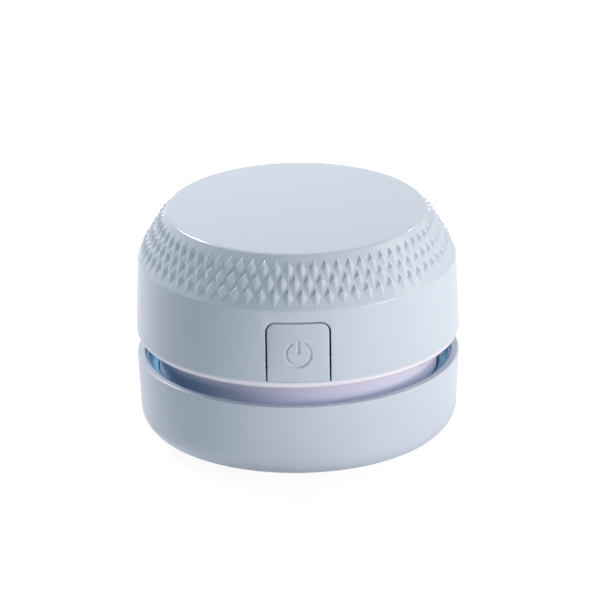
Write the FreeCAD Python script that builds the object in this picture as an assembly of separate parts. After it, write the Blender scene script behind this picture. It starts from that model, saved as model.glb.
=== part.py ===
import FreeCAD, Part
import math
import os

# A desktop mini vacuum cleaner: a squat round motor unit with a knurled shoulder stands in a round
# dust cup, and air leaves all round through the gap between them. Millimetres, +Z up, origin on the
# table under the axis, power button towards -Y, charging port towards +Y.

V = FreeCAD.Vector
ORIGIN = V(0, 0, 0)
UP = V(0, 0, 1)

# ---------------------------------------------------------------- driving dimensions
BODY_RADIUS = 42.5        # widest place, where the rounding of the motor unit's lower edge begins
TOTAL_HEIGHT = 63.0       # table to the flat top
FLOOR_GAP = 2.5           # the glide pads hold the cup this far off the table
RIM_Z = 23.5              # top edge of the dust cup
AIR_GAP = 4.7             # open height between the cup's rim and the skirt
SHOULDER_DROP = 13.0      # height of the knurled cone
DISC_INSET = 8.5          # the flat top is this much smaller in radius than the widest place
SHOULDER_INSET = 0.6      # draft of the wall between skirt and shoulder
WALL = 2.4                # shell wall
ROOF = 2.4                # shell roof
TOP_ROUND = 1.0           # edge of the flat top
SHOULDER_ROUND = 1.5      # edge between cone and wall
SKIRT_ROUND = 2.3         # lower edge of the skirt
RIM_ROUND = 0.35          # both edges of the cup's rim
CHAMFER = 0.6             # broken edges of the inner pieces
ROOT = 0.5                # how far a grown-on feature starts inside its parent
DIAGONAL_DEG = 45.0       # first boss and first pad, from +X

KNURL_COUNT = 70          # diamonds in one row
KNURL_ROWS = 3
KNURL_DROP = 8.2          # from the flat top's edge down the cone to the middle row
KNURL_SPACING = 3.65      # between rows, measured down the cone
KNURL_TURN_DEG = -0.9     # of the rows about Z
KNURL_HALF_WIDTH = 0.82   # of half the pitch
KNURL_HALF_LENGTH = 2.25  # from a diamond's middle to its tip, down the cone
KNURL_HEIGHT = 0.8        # of a peak above the cone
KNURL_LEAN = 0.4          # the peak lies this far up the cone from the diamond's middle
KNURL_ROOT = 0.2          # depth of a diamond's foot under the cone

CUP_RIM_INSET = 0.1       # the rim is this much smaller in radius than the skirt
CUP_DRAFT = 0.7           # the cup narrows by this much down to its rounded edge
CUP_ROUND = 7.0           # rounded lower edge of the cup
CUP_WALL = 2.1            # at the rim
CUP_STEP = 0.9            # ledge under the collar
CUP_FLOOR = 2.0
INLET_RADIUS = 11.0
INLET_WALL = 1.4
INLET_RISE = 4.5          # lip of the inlet above the cup's floor

NECK_WALL = 2.0
NECK_CHAMFER = 1.2        # between neck and deck
NECK_DEPTH = 10.15        # the neck reaches this far below the cup's rim
DECK_RISE = 2.2           # underside of the deck above the skirt's lower edge
DECK = 2.0                # thickness of the deck
DECK_MARGIN = 0.5         # between the deck and the shell
SEAT_REACH = 1.2          # ledges in the shell that the deck is pulled up to
SEAT_HEIGHT = 1.5
SEAT_DEG = 24.0
SLOT_WIDTH = 3.2          # exhaust slots
SLOT_HEIGHT = 4.0
SLOT_DROP = 1.6           # top of the slots below the deck
SLOT_PITCH_DEG = 9.0
SLOT_FIRST_DEG = 63.0     # from the front, to both sides
SLOT_PER_SIDE = 13

LUG_COUNT = 3
LUG_HEIGHT = 3.1
LUG_REACH = 2.0
LUG_DEG = 14.0
LUG_CLEAR = 0.4           # under the collar
LUG_SIDE_CLEAR = 0.8      # between a lug's end and the cup's bore
LUG_GAP = 0.45            # between a lug's side and the collar
LUG_LIFT = 0.45           # lugs above the neck's lower edge
TWIST_DEG = 20.0
STOP_DEG = 3.4
STOP_SHARE = 0.8          # height of a stop, of a lug's
COLLAR = 3.0              # thickness of the locking collar
LINER = 2.3               # height of the collar's upstand
LINER_WALL = 0.75

BUTTON_WIDTH = 16.2
BUTTON_LIFT = 2.4         # lower edge of the button above the skirt's lower edge
BUTTON_HEAD = 3.5         # wall left between the button and the shoulder
BUTTON_CORNER = 2.4
BUTTON_WALL = 1.9
BUTTON_SLOT = 0.35        # gap round the button
BUTTON_SINK = 0.05        # face of the button below the wall's face
HINGE_RISE = 3.4          # hinge axis above the button's lower edge
HINGE_DEPTH = 5.6         # hinge axis inside the wall's face
HINGE_BARREL = 1.35
PIN_RADIUS = 0.75
WEB = 1.9                 # thickness of the web between button and hinge barrel
EAR = 1.6                 # thickness of each hinge ear
EAR_GAP = 0.2             # between an ear and the button's opening, seen from the front
EAR_MARGIN = 0.2          # of an ear round the hinge barrel

MOTOR_RADIUS = 12.0
MOTOR_CAP = 2.0
MOTOR_CAP_INSET = 0.3
MOTOR_CAP_BOSS = 3.0      # radius of the bearing boss on the cap
MOTOR_CAP_RISE = 0.8
MOTOR_WINDOW_WIDTH = 4.4
MOTOR_WINDOW_HEIGHT = 6.0
MOTOR_WINDOW_LIFT = 5.0
MOTOR_WINDOW_DEPTH = 0.6
MOTOR_BOSS_RADIUS = 3.2
MOTOR_SCREW_INSET = 3.8   # screws inside the can's side
MOTOR_SCREW_SINK = 1.0    # heads let into the deck, clear of the fan
MOTOR_SCREW_BITE = 3.0
TERMINAL_INSET = 5.0
TERMINAL_WIDTH = 2.4
TERMINAL_THICK = 0.5
TERMINAL_HEIGHT = 1.1
SHAFT_RADIUS = 1.0
SHAFT_STUB = 1.6          # above the motor's cap
FAN_MARGIN = 6.1          # between the fan and the neck's bore, where the air turns down to the slots
FAN_EYE = 10.5
FAN_BLADES = 9
FAN_BLADE = 1.1           # thickness of a blade
BLADE_INSET = 1.0         # root of a blade outside the eye
BLADE_SWEEP_DEG = 48.0    # how far a blade trails from root to tip
BLADE_LEAN_DEG = 29.0     # its thickness is measured across this slant
BLADE_TAPER = 2.0         # a blade is this much lower at its tip
FAN_HUB = 4.0
HUB_FLARE = 1.0           # the hub is this much wider at the plate
HUB_LIFT = 1.0            # lower end of the hub above the blades' lower edges
FAN_PLATE = 1.2
FAN_CLEAR = 1.0           # over and under the fan
SHROUD = 1.2              # plate under the fan
SHROUD_LIP = 0.8          # lip round the shroud's mouth
SHROUD_LIP_WIDTH = 2.0
SHROUD_LEDGE = 1.2        # bead in the neck that the shroud is pressed up to
SPOKE = 1.2
SHROUD_SPOKES = 3
SPOKE_SINK = 0.4
SPOKE_HUB = 2.2
SHROUD_DROP = 12.2        # shroud's lower face under the deck's lower face

BOSS_RADIUS = 3.0
BOSS_MARGIN = 0.7         # between a deck screw's head and the neck's bore
BOSS_COUNT = 4
SCREW_RADIUS = 0.9
SCREW_HEAD = 1.9
SCREW_HEAD_HEIGHT = 1.3
SCREW_BITE = 6.0          # length of a deck screw inside its boss
PILOT_SPARE = 0.5         # a boss is bored this much deeper than its screw
POST_RADIUS = 2.2
POST_INSET = 4.5          # of the posts' circle inside the board's edge
BOARD = 1.6
BOARD_BORE_CLEAR = 2.0    # between the board and the motor
BOARD_MARGIN = 0.5        # between the board and the bosses
BOARD_TONGUE = 2.0        # of the board beside the switch
BOARD_SINK = 0.3          # the board's edge behind the switch's face
PORT_OVERHANG = 4.0       # of the port beyond the board
BATTERY_THICK = 5.2
BATTERY_ROUND = 1.6
BATTERY_SIDE = 2.6        # between the battery and the bosses
BATTERY_EDGE = 2.3        # of the battery's corners inside the edge of the flat roof
BATTERY_GAP = 0.6         # between the rotor shaft's end and the battery
TAPE = 0.8
TAPE_SHARE = 0.67         # length and width of the tape, of the battery's

SWITCH_WIDTH = 6.0
SWITCH_DEPTH = 3.6
SWITCH_HEIGHT = 4.2
SWITCH_GAP = 1.9          # face of the switch behind the hinge axis
PLUNGER_RADIUS = 0.9
PLUNGER_REACH = 0.7       # of the plunger out of the switch
PLUNGER_LENGTH = 2.2
PRESS_TRAVEL = 0.3
PUSHER_RADIUS = 1.4
PUSHER_GAP = 0.05
PUSHER_SHARE = 0.698      # height of the pusher's axis, of the button's height

PORT_WIDTH = 8.94
PORT_HEIGHT = 3.26
PORT_LENGTH = 7.3
PORT_WALL = 0.3
PORT_BACK = 1.0           # thickness of the port's closed end
PORT_INSET = 1.0          # mouth of the port inside the wall's face
PORT_OPENING_MARGIN = 0.4
PORT_ROUND = 0.49         # of the port's height
TONGUE_WIDTH = 6.8
TONGUE_THICK = 0.7
TONGUE_SINK = 0.8
OPENING_REACH = 3.0       # openings are cut this far past the wall's inner face

FRAME_WALL = 2.3
FRAME_RISE = 4.7          # filter frame's sleeve above its flange
FRAME_LIP = 1.5           # of the floor ring inside the sleeve
FRAME_SPOKE = 2.0
FRAME_SPOKES = 6
FRAME_HUB = 4.0
FLANGE = 1.2
FLANGE_MARGIN = 0.4       # between the flange and the collar's bore, which it is lifted through
TAB_DEG = 10.0            # tabs of the flange, which drop through the collar's mouths
SNAP_LIFT = 2.4           # snap bead on the sleeve above the flange
SNAP_HEIGHT = 1.2
SNAP_REACH = 0.6
PLEAT_PITCH = 4.0
PLEAT_HEIGHT = 4.0
PLEAT_THICK = 0.8
SEAL = 0.5                # thickness of the face seal
SEAL_OVERLAP = 0.2        # the seal stops this far inside the neck's face
RIB_COUNT = 6
RIB_WIDTH = 1.6
RIB_REACH = 4.2           # of the ribs that carry the filter's flange
GUIDE_REACH = 2.2         # of the ribs beside the flange's tabs
RIB_FIRST_DEG = 30.0

PAD_COUNT = 4
PAD_RADIUS = 3.5
PAD_MARGIN = 3.2          # between a pad and the rounded edge of the cup
POCKET = 0.8              # depth of the pads' pockets
BRUSH_INNER = 15.2
BRUSH_OUTER = 19.2
BRUSH_GROOVE = 1.0
BRUSH_PROUD = 0.3         # of the carrier under the cup's floor
TUFT_COUNT = 30
TUFT_RADIUS = 0.9
TUFT_SIDES = 8
TUFT_BAND = 0.4           # thickness of the band that joins the tufts
TUFT_FLOOR_CLEAR = 0.4
GUARD_RING = 1.3
GUARD_BAR = 1.4
GUARD_HEIGHT = 1.8
GUARD_SINK = 0.4          # of the guard above the cup's underside

SLIDE_CLEAR = 0.3         # between parts that pull apart
TURN_CLEAR = 0.05         # between parts that run on each other
CAVITY_CLEAR = 0.1

# ---------------------------------------------------------------- places worked out from them
SKIRT_Z = RIM_Z + AIR_GAP
SHOULDER_Z = TOTAL_HEIGHT - SHOULDER_DROP
DISC_RADIUS = BODY_RADIUS - DISC_INSET
SHOULDER_RADIUS = BODY_RADIUS - SHOULDER_INSET
CONE_RUN = SHOULDER_RADIUS - DISC_RADIUS
CONE_ANGLE = math.atan2(SHOULDER_DROP, CONE_RUN)
WALL_SLOPE = SHOULDER_INSET / (SHOULDER_Z - SKIRT_Z - SKIRT_ROUND)
SKIRT_BORE = BODY_RADIUS - WALL
DECK_Z = SKIRT_Z + DECK_RISE
DECK_TOP = DECK_Z + DECK
DECK_RADIUS = SKIRT_BORE - DECK_MARGIN

CUP_FLOOR_Z = FLOOR_GAP + CUP_FLOOR
CUP_RIM_RADIUS = BODY_RADIUS - CUP_RIM_INSET
CUP_FOOT_RADIUS = CUP_RIM_RADIUS - CUP_DRAFT
PAD_CIRCLE = CUP_FOOT_RADIUS - CUP_ROUND - PAD_MARGIN - PAD_RADIUS
CUP_BORE = CUP_RIM_RADIUS - CUP_WALL
CUP_LOWER_BORE = CUP_BORE - CUP_STEP

NECK_RADIUS = CUP_LOWER_BORE - LUG_SIDE_CLEAR - LUG_REACH
NECK_BORE = NECK_RADIUS - NECK_WALL
NECK_Z = RIM_Z - NECK_DEPTH
SHROUD_Z = DECK_Z - SHROUD_DROP
SHROUD_TOP = SHROUD_Z + SHROUD
FAN_RADIUS = NECK_BORE - FAN_MARGIN
FAN_TOP = DECK_Z - FAN_CLEAR
FAN_Z = SHROUD_TOP + FAN_CLEAR
LUG_Z = NECK_Z + LUG_LIFT
LUG_TOP = LUG_Z + LUG_HEIGHT
LUG_RADIUS = NECK_RADIUS + LUG_REACH
COLLAR_Z = LUG_TOP + LUG_CLEAR
COLLAR_TOP = COLLAR_Z + COLLAR
COLLAR_BORE = NECK_RADIUS + SLIDE_CLEAR
COLLAR_MOUTH = LUG_RADIUS + SLIDE_CLEAR

SEAL_TOP = NECK_Z - TURN_CLEAR
FLANGE_TOP = SEAL_TOP - SEAL
FLANGE_Z = FLANGE_TOP - FLANGE
FLANGE_RADIUS = COLLAR_BORE - FLANGE_MARGIN
SLEEVE_RADIUS = NECK_BORE - SLIDE_CLEAR
SLEEVE_BORE = SLEEVE_RADIUS - FRAME_WALL
SLEEVE_TOP = FLANGE_TOP + FRAME_RISE
SNAP_Z = FLANGE_TOP + SNAP_LIFT
SNAP_RADIUS = SLEEVE_RADIUS + SNAP_REACH

BUTTON_Z = SKIRT_Z + BUTTON_LIFT
BUTTON_HEIGHT = SHOULDER_Z - BUTTON_HEAD - BUTTON_Z
HINGE_Z = BUTTON_Z + HINGE_RISE
HINGE_Y = -(BODY_RADIUS - HINGE_DEPTH)
EAR_INNER = BUTTON_WIDTH / 2 + BUTTON_SLOT + EAR_GAP
EAR_OUTER = EAR_INNER + EAR
EAR_HALF_DEPTH = HINGE_BARREL + EAR_MARGIN
BOSS_CIRCLE = NECK_BORE - BOSS_MARGIN - SCREW_HEAD
SWITCH_Y = HINGE_Y + SWITCH_GAP
PLUNGER_Y = SWITCH_Y - PLUNGER_REACH
PLUNGER_Z = BUTTON_Z + BUTTON_HEIGHT * PUSHER_SHARE
BOARD_TOP = PLUNGER_Z - SWITCH_HEIGHT / 2
BOARD_Z = BOARD_TOP - BOARD
BOARD_RADIUS = BOSS_CIRCLE - BOSS_RADIUS - BOARD_MARGIN
BOARD_BORE = MOTOR_RADIUS + BOARD_BORE_CLEAR
POST_CIRCLE = BOARD_RADIUS - POST_INSET
PORT_Z = BOARD_TOP + PORT_HEIGHT / 2
PORT_MOUTH_Y = BODY_RADIUS - SHOULDER_INSET / 2 - PORT_INSET

ROOF_Z = TOTAL_HEIGHT - ROOF
ROOF_RADIUS = DISC_RADIUS - ROOF / math.tan(CONE_ANGLE)
BATTERY_Z = ROOF_Z - TAPE - BATTERY_THICK
BATTERY_WIDTH = 2 * (BOSS_CIRCLE / math.sqrt(2) - BOSS_RADIUS - BATTERY_SIDE)
BATTERY_LENGTH = 2 * math.sqrt((ROOF_RADIUS - BATTERY_EDGE) ** 2 - (BATTERY_WIDTH / 2) ** 2)
MOTOR_SCREW_CIRCLE = MOTOR_RADIUS - MOTOR_SCREW_INSET
TERMINAL_X = MOTOR_RADIUS - TERMINAL_INSET
SHAFT_END = BATTERY_Z - BATTERY_GAP
MOTOR_TOP = SHAFT_END - SHAFT_STUB - MOTOR_CAP


# ---------------------------------------------------------------- helpers
def revolve(points):
    """Solid of revolution about Z from (radius, height) corners."""
    outline = [V(r, 0, z) for r, z in points]
    face = Part.Face(Part.makePolygon(outline + [outline[0]]))
    return face.revolve(ORIGIN, UP, 360)


def cylinder(radius, z0, z1, x=0.0, y=0.0):
    return Part.makeCylinder(radius, z1 - z0, V(x, y, z0), UP)


def tube(outer, inner, z0, z1):
    return cylinder(outer, z0, z1).cut(cylinder(inner, z0, z1))


def rod(radius, start, direction, length):
    return Part.makeCylinder(radius, length, start, direction)


def block(x0, x1, y0, y1, z0, z1):
    return Part.makeBox(x1 - x0, y1 - y0, z1 - z0, V(x0, y0, z0))


def fused(first, others):
    """One clean solid from a shape and the shapes that grow out of it."""
    return first.multiFuse(others).removeSplitter() if others else first


def cut_all(shape, tools):
    return shape.cut(Part.makeCompound(tools))


def round_rims(shape, radius, rims):
    """Fillet the full circles about Z that lie at the given (radius, height) places."""
    edges = []
    for edge in shape.Edges:
        if not isinstance(edge.Curve, Part.Circle) or abs(edge.Curve.Axis.z) < 0.999:
            continue
        for r, z in rims:
            if abs(edge.Curve.Radius - r) < 0.01 and abs(edge.Curve.Center.z - z) < 0.01:
                edges.append(edge)
    return shape.makeFillet(radius, edges)


def around(shape, angles):
    """Copies of a shape turned about Z, one for each angle in degrees."""
    copies = []
    for angle in angles:
        copy = shape.copy()
        copy.rotate(ORIGIN, UP, angle)
        copies.append(copy)
    return copies


def evenly(count, first=0.0):
    return [first + 360.0 * k / count for k in range(count)]


def sector(inner, outer, z0, z1, middle_deg, width_deg):
    """Piece of a ring, centred on an angle measured from +X."""
    piece = Part.makeCylinder(outer, z1 - z0, V(0, 0, z0), UP, width_deg)
    piece = piece.cut(cylinder(inner, z0, z1))
    piece.rotate(ORIGIN, UP, middle_deg - width_deg / 2)
    return piece


def rounded_prism(width, height, corner, z0, y0, y1, corners):
    """Upright plate across X, bottom edge at z0, with its upper or all corners rounded."""
    plate = block(-width / 2, width / 2, y0, y1, z0, z0 + height)
    edges = []
    for edge in plate.Edges:
        ends = [v.Point for v in edge.Vertexes]
        along_y = abs(ends[0].y - ends[1].y) > 1e-6
        upper = ends[0].z > z0 + height / 2
        if along_y and (upper or corners == "all"):
            edges.append(edge)
    return plate.makeFillet(corner, edges)


def save(name, shape):
    solids = shape.Solids
    if len(solids) != 1 or not shape.isValid():
        raise ValueError("%s has %d solids" % (name, len(solids)))
    solids[0].exportStep("parts/%s.step" % name)


# ---------------------------------------------------------------- motor unit: shell
def wall_radius(z):
    """Outer radius of the drafted wall between skirt and shoulder."""
    return BODY_RADIUS - WALL_SLOPE * (z - SKIRT_Z - SKIRT_ROUND)


def shell_envelope():
    """The motor unit's outer form, filled."""
    form = revolve([(0, TOTAL_HEIGHT), (DISC_RADIUS, TOTAL_HEIGHT), (SHOULDER_RADIUS, SHOULDER_Z),
                    (wall_radius(SKIRT_Z), SKIRT_Z), (0, SKIRT_Z)])
    form = round_rims(form, TOP_ROUND, [(DISC_RADIUS, TOTAL_HEIGHT)])
    form = round_rims(form, SHOULDER_ROUND, [(SHOULDER_RADIUS, SHOULDER_Z)])
    return round_rims(form, SKIRT_ROUND, [(wall_radius(SKIRT_Z), SKIRT_Z)])


def shell_cavity():
    return revolve([(0, ROOF_Z), (ROOF_RADIUS, ROOF_Z), (SHOULDER_RADIUS - WALL, SHOULDER_Z - 1),
                    (SKIRT_BORE, SKIRT_Z), (0, SKIRT_Z)])


def knurl_diamond(row):
    """Four-sided pyramid standing on the cone at azimuth 0, in the given row."""
    down = KNURL_DROP + (row - (KNURL_ROWS - 1) / 2) * KNURL_SPACING
    radius = DISC_RADIUS + down * math.cos(CONE_ANGLE)
    height = TOTAL_HEIGHT - down * math.sin(CONE_ANGLE)
    middle = V(radius, 0, height)
    outward = V(math.sin(CONE_ANGLE), 0, math.cos(CONE_ANGLE))
    downhill = V(math.cos(CONE_ANGLE), 0, -math.sin(CONE_ANGLE))
    half_width = KNURL_HALF_WIDTH * math.pi * radius / KNURL_COUNT
    foot = middle - outward * KNURL_ROOT
    grow = 1 + KNURL_ROOT / KNURL_HEIGHT
    corners = [foot - downhill * KNURL_HALF_LENGTH * grow, foot + V(0, half_width * grow, 0),
               foot + downhill * KNURL_HALF_LENGTH * grow, foot - V(0, half_width * grow, 0)]
    peak = middle + outward * KNURL_HEIGHT - downhill * KNURL_LEAN
    faces = [Part.Face(Part.makePolygon(corners + [corners[0]]))]
    for k in range(4):
        side = [corners[k], corners[(k + 1) % 4], peak]
        faces.append(Part.Face(Part.makePolygon(side + [side[0]])))
    return Part.makeSolid(Part.makeShell(faces))


def knurl_rows():
    pitch = 360.0 / KNURL_COUNT
    diamonds = []
    for row in range(KNURL_ROWS):
        first = KNURL_TURN_DEG + pitch * (row % 2) / 2
        diamonds += around(knurl_diamond(row), evenly(KNURL_COUNT, first))
    return diamonds


def button_opening():
    gap = BUTTON_SLOT
    outer_y = -(BODY_RADIUS + 1)
    inner_y = -(BODY_RADIUS - WALL - OPENING_REACH)
    return rounded_prism(BUTTON_WIDTH + 2 * gap, BUTTON_HEIGHT + 2 * gap, BUTTON_CORNER + gap,
                         BUTTON_Z - gap, outer_y, inner_y, "upper")


def port_opening():
    margin = PORT_OPENING_MARGIN
    height = PORT_HEIGHT + 2 * margin
    return rounded_prism(PORT_WIDTH + 2 * margin, height, height * PORT_ROUND, PORT_Z - height / 2,
                         BODY_RADIUS - WALL - OPENING_REACH, BODY_RADIUS + 1, "all")


def boss_places():
    return [(BOSS_CIRCLE * math.cos(math.radians(a)), BOSS_CIRCLE * math.sin(math.radians(a)))
            for a in evenly(BOSS_COUNT, DIAGONAL_DEG)]


def top_shell():
    """Moulded shell: flat top, knurled cone, drafted wall, inside bosses and seats for the deck."""
    envelope = shell_envelope()
    shell = envelope.cut(shell_cavity())
    bosses = [cylinder(BOSS_RADIUS, DECK_TOP, ROOF_Z + ROOF / 2, x, y) for x, y in boss_places()]
    seats = [sector(SKIRT_BORE - SEAT_REACH, SKIRT_BORE + ROOT, DECK_TOP, DECK_TOP + SEAT_HEIGHT,
                    angle, SEAT_DEG) for angle in evenly(BOSS_COUNT, DIAGONAL_DEG)]
    inside = Part.makeCompound(bosses + seats).common(envelope)
    shell = fused(shell, inside.Solids)
    pilots = [cylinder(SCREW_RADIUS, DECK_TOP, DECK_TOP + SCREW_BITE + PILOT_SPARE, x, y)
              for x, y in boss_places()]
    shell = cut_all(shell, pilots + [button_opening(), port_opening()])
    return shell.multiFuse(knurl_rows())


# ---------------------------------------------------------------- motor unit: chassis and fan
def exhaust_slots():
    top = DECK_Z - SLOT_DROP
    slot = block(NECK_BORE - 1, NECK_RADIUS + 1, -SLOT_WIDTH / 2, SLOT_WIDTH / 2, top - SLOT_HEIGHT, top)
    turns = [SLOT_FIRST_DEG + SLOT_PITCH_DEG * k for k in range(SLOT_PER_SIDE)]
    return around(slot, [-90 + t for t in turns] + [-90 - t for t in turns])


def lug_angles():
    return evenly(LUG_COUNT, 90)


def hinge_ears():
    """Two ears on the deck that carry the button's pin, kept inside the shell's wall."""
    top = HINGE_Z + EAR_HALF_DEPTH
    room = cylinder(DECK_RADIUS, DECK_Z, top)
    ears = []
    for x in (-EAR_OUTER, EAR_INNER):
        ear = block(x, x + EAR, HINGE_Y - EAR_HALF_DEPTH, HINGE_Y + EAR_HALF_DEPTH,
                    DECK_TOP - ROOT, top)
        ears.append(ear.common(room))
    return ears


def motor_screw_places():
    return [(MOTOR_SCREW_CIRCLE, 0.0), (-MOTOR_SCREW_CIRCLE, 0.0)]


def post_places():
    return [(POST_CIRCLE, 0.0), (-POST_CIRCLE, 0.0), (0.0, POST_CIRCLE), (0.0, -POST_CIRCLE)]


def chassis():
    """Deck that closes the shell, with the neck that reaches down into the cup."""
    hole = MOTOR_BOSS_RADIUS + CAVITY_CLEAR
    groove = SNAP_RADIUS + SLIDE_CLEAR
    groove_z = SNAP_Z - SLIDE_CLEAR
    groove_top = SNAP_Z + SNAP_HEIGHT + SLIDE_CLEAR
    body = revolve([(hole, DECK_Z), (hole, DECK_TOP), (DECK_RADIUS, DECK_TOP), (DECK_RADIUS, DECK_Z),
                    (NECK_RADIUS + NECK_CHAMFER, DECK_Z), (NECK_RADIUS, DECK_Z - NECK_CHAMFER),
                    (NECK_RADIUS, NECK_Z), (NECK_BORE, NECK_Z),
                    (NECK_BORE, groove_z), (groove, groove_z), (groove, groove_top),
                    (NECK_BORE, groove_top), (NECK_BORE, SHROUD_TOP),
                    (NECK_BORE - SHROUD_LEDGE, SHROUD_TOP + SHROUD_LEDGE),
                    (NECK_BORE, SHROUD_TOP + 2 * SHROUD_LEDGE), (NECK_BORE, DECK_Z)])
    lugs = [sector(NECK_RADIUS - ROOT, LUG_RADIUS, LUG_Z, LUG_TOP, angle, LUG_DEG)
            for angle in lug_angles()]
    posts = [cylinder(POST_RADIUS, DECK_TOP - ROOT, BOARD_Z, x, y) for x, y in post_places()]
    body = fused(body, lugs + posts + hinge_ears())
    tools = exhaust_slots()
    tools += [cylinder(SCREW_RADIUS, DECK_Z, DECK_TOP, x, y) for x, y in boss_places() + motor_screw_places()]
    tools += [cylinder(SCREW_HEAD + SLIDE_CLEAR, DECK_Z, DECK_Z + MOTOR_SCREW_SINK, x, y)
              for x, y in motor_screw_places()]
    tools += [cylinder(SCREW_RADIUS, DECK_TOP, BOARD_Z, x, y) for x, y in post_places()]
    tools.append(rod(PIN_RADIUS, V(-EAR_OUTER, HINGE_Y, HINGE_Z), V(1, 0, 0), 2 * EAR_OUTER))
    return cut_all(body, tools)


def fan_shroud():
    """Plate under the fan with a lipped mouth and three spokes across it."""
    mouth = FAN_EYE - ROOT
    lip_z = SHROUD_Z - SHROUD_LIP
    plate = revolve([(mouth, lip_z), (mouth, SHROUD_TOP), (NECK_BORE, SHROUD_TOP), (NECK_BORE, SHROUD_Z),
                     (mouth + SHROUD_LIP_WIDTH, SHROUD_Z), (mouth + SHROUD_LIP_WIDTH - CHAMFER, lip_z)])
    spoke_top = SHROUD_TOP - SPOKE_SINK
    spoke = block(0, mouth + ROOT, -SPOKE / 2, SPOKE / 2, lip_z, spoke_top)
    return fused(plate, around(spoke, evenly(SHROUD_SPOKES, 90)) + [cylinder(SPOKE_HUB, lip_z, spoke_top)])


def fan_blade():
    """Backward-curved blade at azimuth 0, as tall as the fan before it is trimmed."""
    root_radius = FAN_EYE + BLADE_INSET
    lean = math.radians(BLADE_LEAN_DEG)

    def along(share, side):
        radius = root_radius + (FAN_RADIUS - root_radius) * share
        angle = -math.radians(BLADE_SWEEP_DEG) * share
        point = V(radius * math.cos(angle), radius * math.sin(angle), FAN_Z)
        across = V(-math.sin(angle + lean), math.cos(angle + lean), 0)
        return point + across * side * FAN_BLADE / 2

    front = Part.Arc(along(0, 1), along(0.5, 1), along(1, 1)).toShape()
    tip = Part.makeLine(along(1, 1), along(1, -1))
    back = Part.Arc(along(1, -1), along(0.5, -1), along(0, -1)).toShape()
    root = Part.makeLine(along(0, -1), along(0, 1))
    outline = Part.Face(Part.Wire([front, tip, back, root]))
    return outline.extrude(V(0, 0, FAN_TOP - FAN_Z - FAN_PLATE / 2))


def impeller():
    """Centrifugal fan: back plate on top, curved blades under it that get lower outwards."""
    plate_z = FAN_TOP - FAN_PLATE
    plate = revolve([(SHAFT_RADIUS, FAN_TOP), (FAN_RADIUS, FAN_TOP), (FAN_RADIUS, plate_z),
                     (FAN_HUB + HUB_FLARE, plate_z), (FAN_HUB, FAN_Z + HUB_LIFT),
                     (SHAFT_RADIUS, FAN_Z + HUB_LIFT)])
    sweep = revolve([(0, FAN_TOP), (FAN_RADIUS, FAN_TOP), (FAN_RADIUS, FAN_Z + BLADE_TAPER), (FAN_EYE, FAN_Z),
                     (0, FAN_Z)])
    blades = [blade.common(sweep) for blade in around(fan_blade(), evenly(FAN_BLADES))]
    return fused(plate, blades)


def rotor_shaft():
    return cylinder(SHAFT_RADIUS, FAN_Z + HUB_LIFT, SHAFT_END)


def motor_can():
    """Drawn can with a bearing boss through the deck and two wells in its side."""
    bore = SHAFT_RADIUS + TURN_CLEAR
    can = revolve([(bore, DECK_Z), (MOTOR_BOSS_RADIUS, DECK_Z), (MOTOR_BOSS_RADIUS, DECK_TOP),
                   (MOTOR_RADIUS - CHAMFER, DECK_TOP), (MOTOR_RADIUS, DECK_TOP + CHAMFER),
                   (MOTOR_RADIUS, MOTOR_TOP), (bore, MOTOR_TOP)])
    window_z = DECK_TOP + MOTOR_WINDOW_LIFT
    window = block(-MOTOR_WINDOW_WIDTH / 2, MOTOR_WINDOW_WIDTH / 2, MOTOR_RADIUS - MOTOR_WINDOW_DEPTH,
                   MOTOR_RADIUS + 1, window_z, window_z + MOTOR_WINDOW_HEIGHT)
    pilots = [cylinder(SCREW_RADIUS, DECK_TOP, DECK_TOP + MOTOR_SCREW_BITE, x, y)
              for x, y in motor_screw_places()]
    return cut_all(can, around(window, [0, 180]) + pilots)


def motor_end_cap():
    bore = SHAFT_RADIUS + TURN_CLEAR
    rim = MOTOR_RADIUS - MOTOR_CAP_INSET
    top = MOTOR_TOP + MOTOR_CAP
    return revolve([(bore, MOTOR_TOP), (rim, MOTOR_TOP), (rim, top - CHAMFER), (rim - CHAMFER, top),
                    (MOTOR_CAP_BOSS, top), (MOTOR_CAP_BOSS, top + MOTOR_CAP_RISE),
                    (bore, top + MOTOR_CAP_RISE)])


def motor_screw(x, y):
    seat_z = DECK_Z + MOTOR_SCREW_SINK
    return screw(x, y, seat_z, DECK_TOP - seat_z + MOTOR_SCREW_BITE, False)


def motor_terminal(side):
    x = side * TERMINAL_X
    z = MOTOR_TOP + MOTOR_CAP
    return block(x - TERMINAL_WIDTH / 2, x + TERMINAL_WIDTH / 2, -TERMINAL_THICK / 2, TERMINAL_THICK / 2,
                 z, z + TERMINAL_HEIGHT)


def screw(x, y, seat_z, length, head_up):
    """Pan-head screw; its head lies on the far side of seat_z from its shank."""
    toward = 1 if head_up else -1
    outline = [(0, -length), (SCREW_RADIUS, -length), (SCREW_RADIUS, 0), (SCREW_HEAD, 0),
               (SCREW_HEAD, SCREW_HEAD_HEIGHT - CHAMFER), (SCREW_HEAD - CHAMFER, SCREW_HEAD_HEIGHT),
               (0, SCREW_HEAD_HEIGHT)]
    solid = revolve([(r, seat_z + toward * h) for r, h in outline])
    solid.translate(V(x, y, 0))
    return solid


# ---------------------------------------------------------------- motor unit: power and control
def battery_cell():
    cell = block(-BATTERY_LENGTH / 2, BATTERY_LENGTH / 2, -BATTERY_WIDTH / 2, BATTERY_WIDTH / 2,
                 BATTERY_Z, BATTERY_Z + BATTERY_THICK)
    upright = [e for e in cell.Edges if abs(e.Vertexes[0].Z - e.Vertexes[1].Z) > 1]
    return cell.makeFillet(BATTERY_ROUND, upright)


def battery_tape():
    half_length = TAPE_SHARE * BATTERY_LENGTH / 2
    half_width = TAPE_SHARE * BATTERY_WIDTH / 2
    return block(-half_length, half_length, -half_width, half_width, ROOF_Z - TAPE, ROOF_Z)


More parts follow.
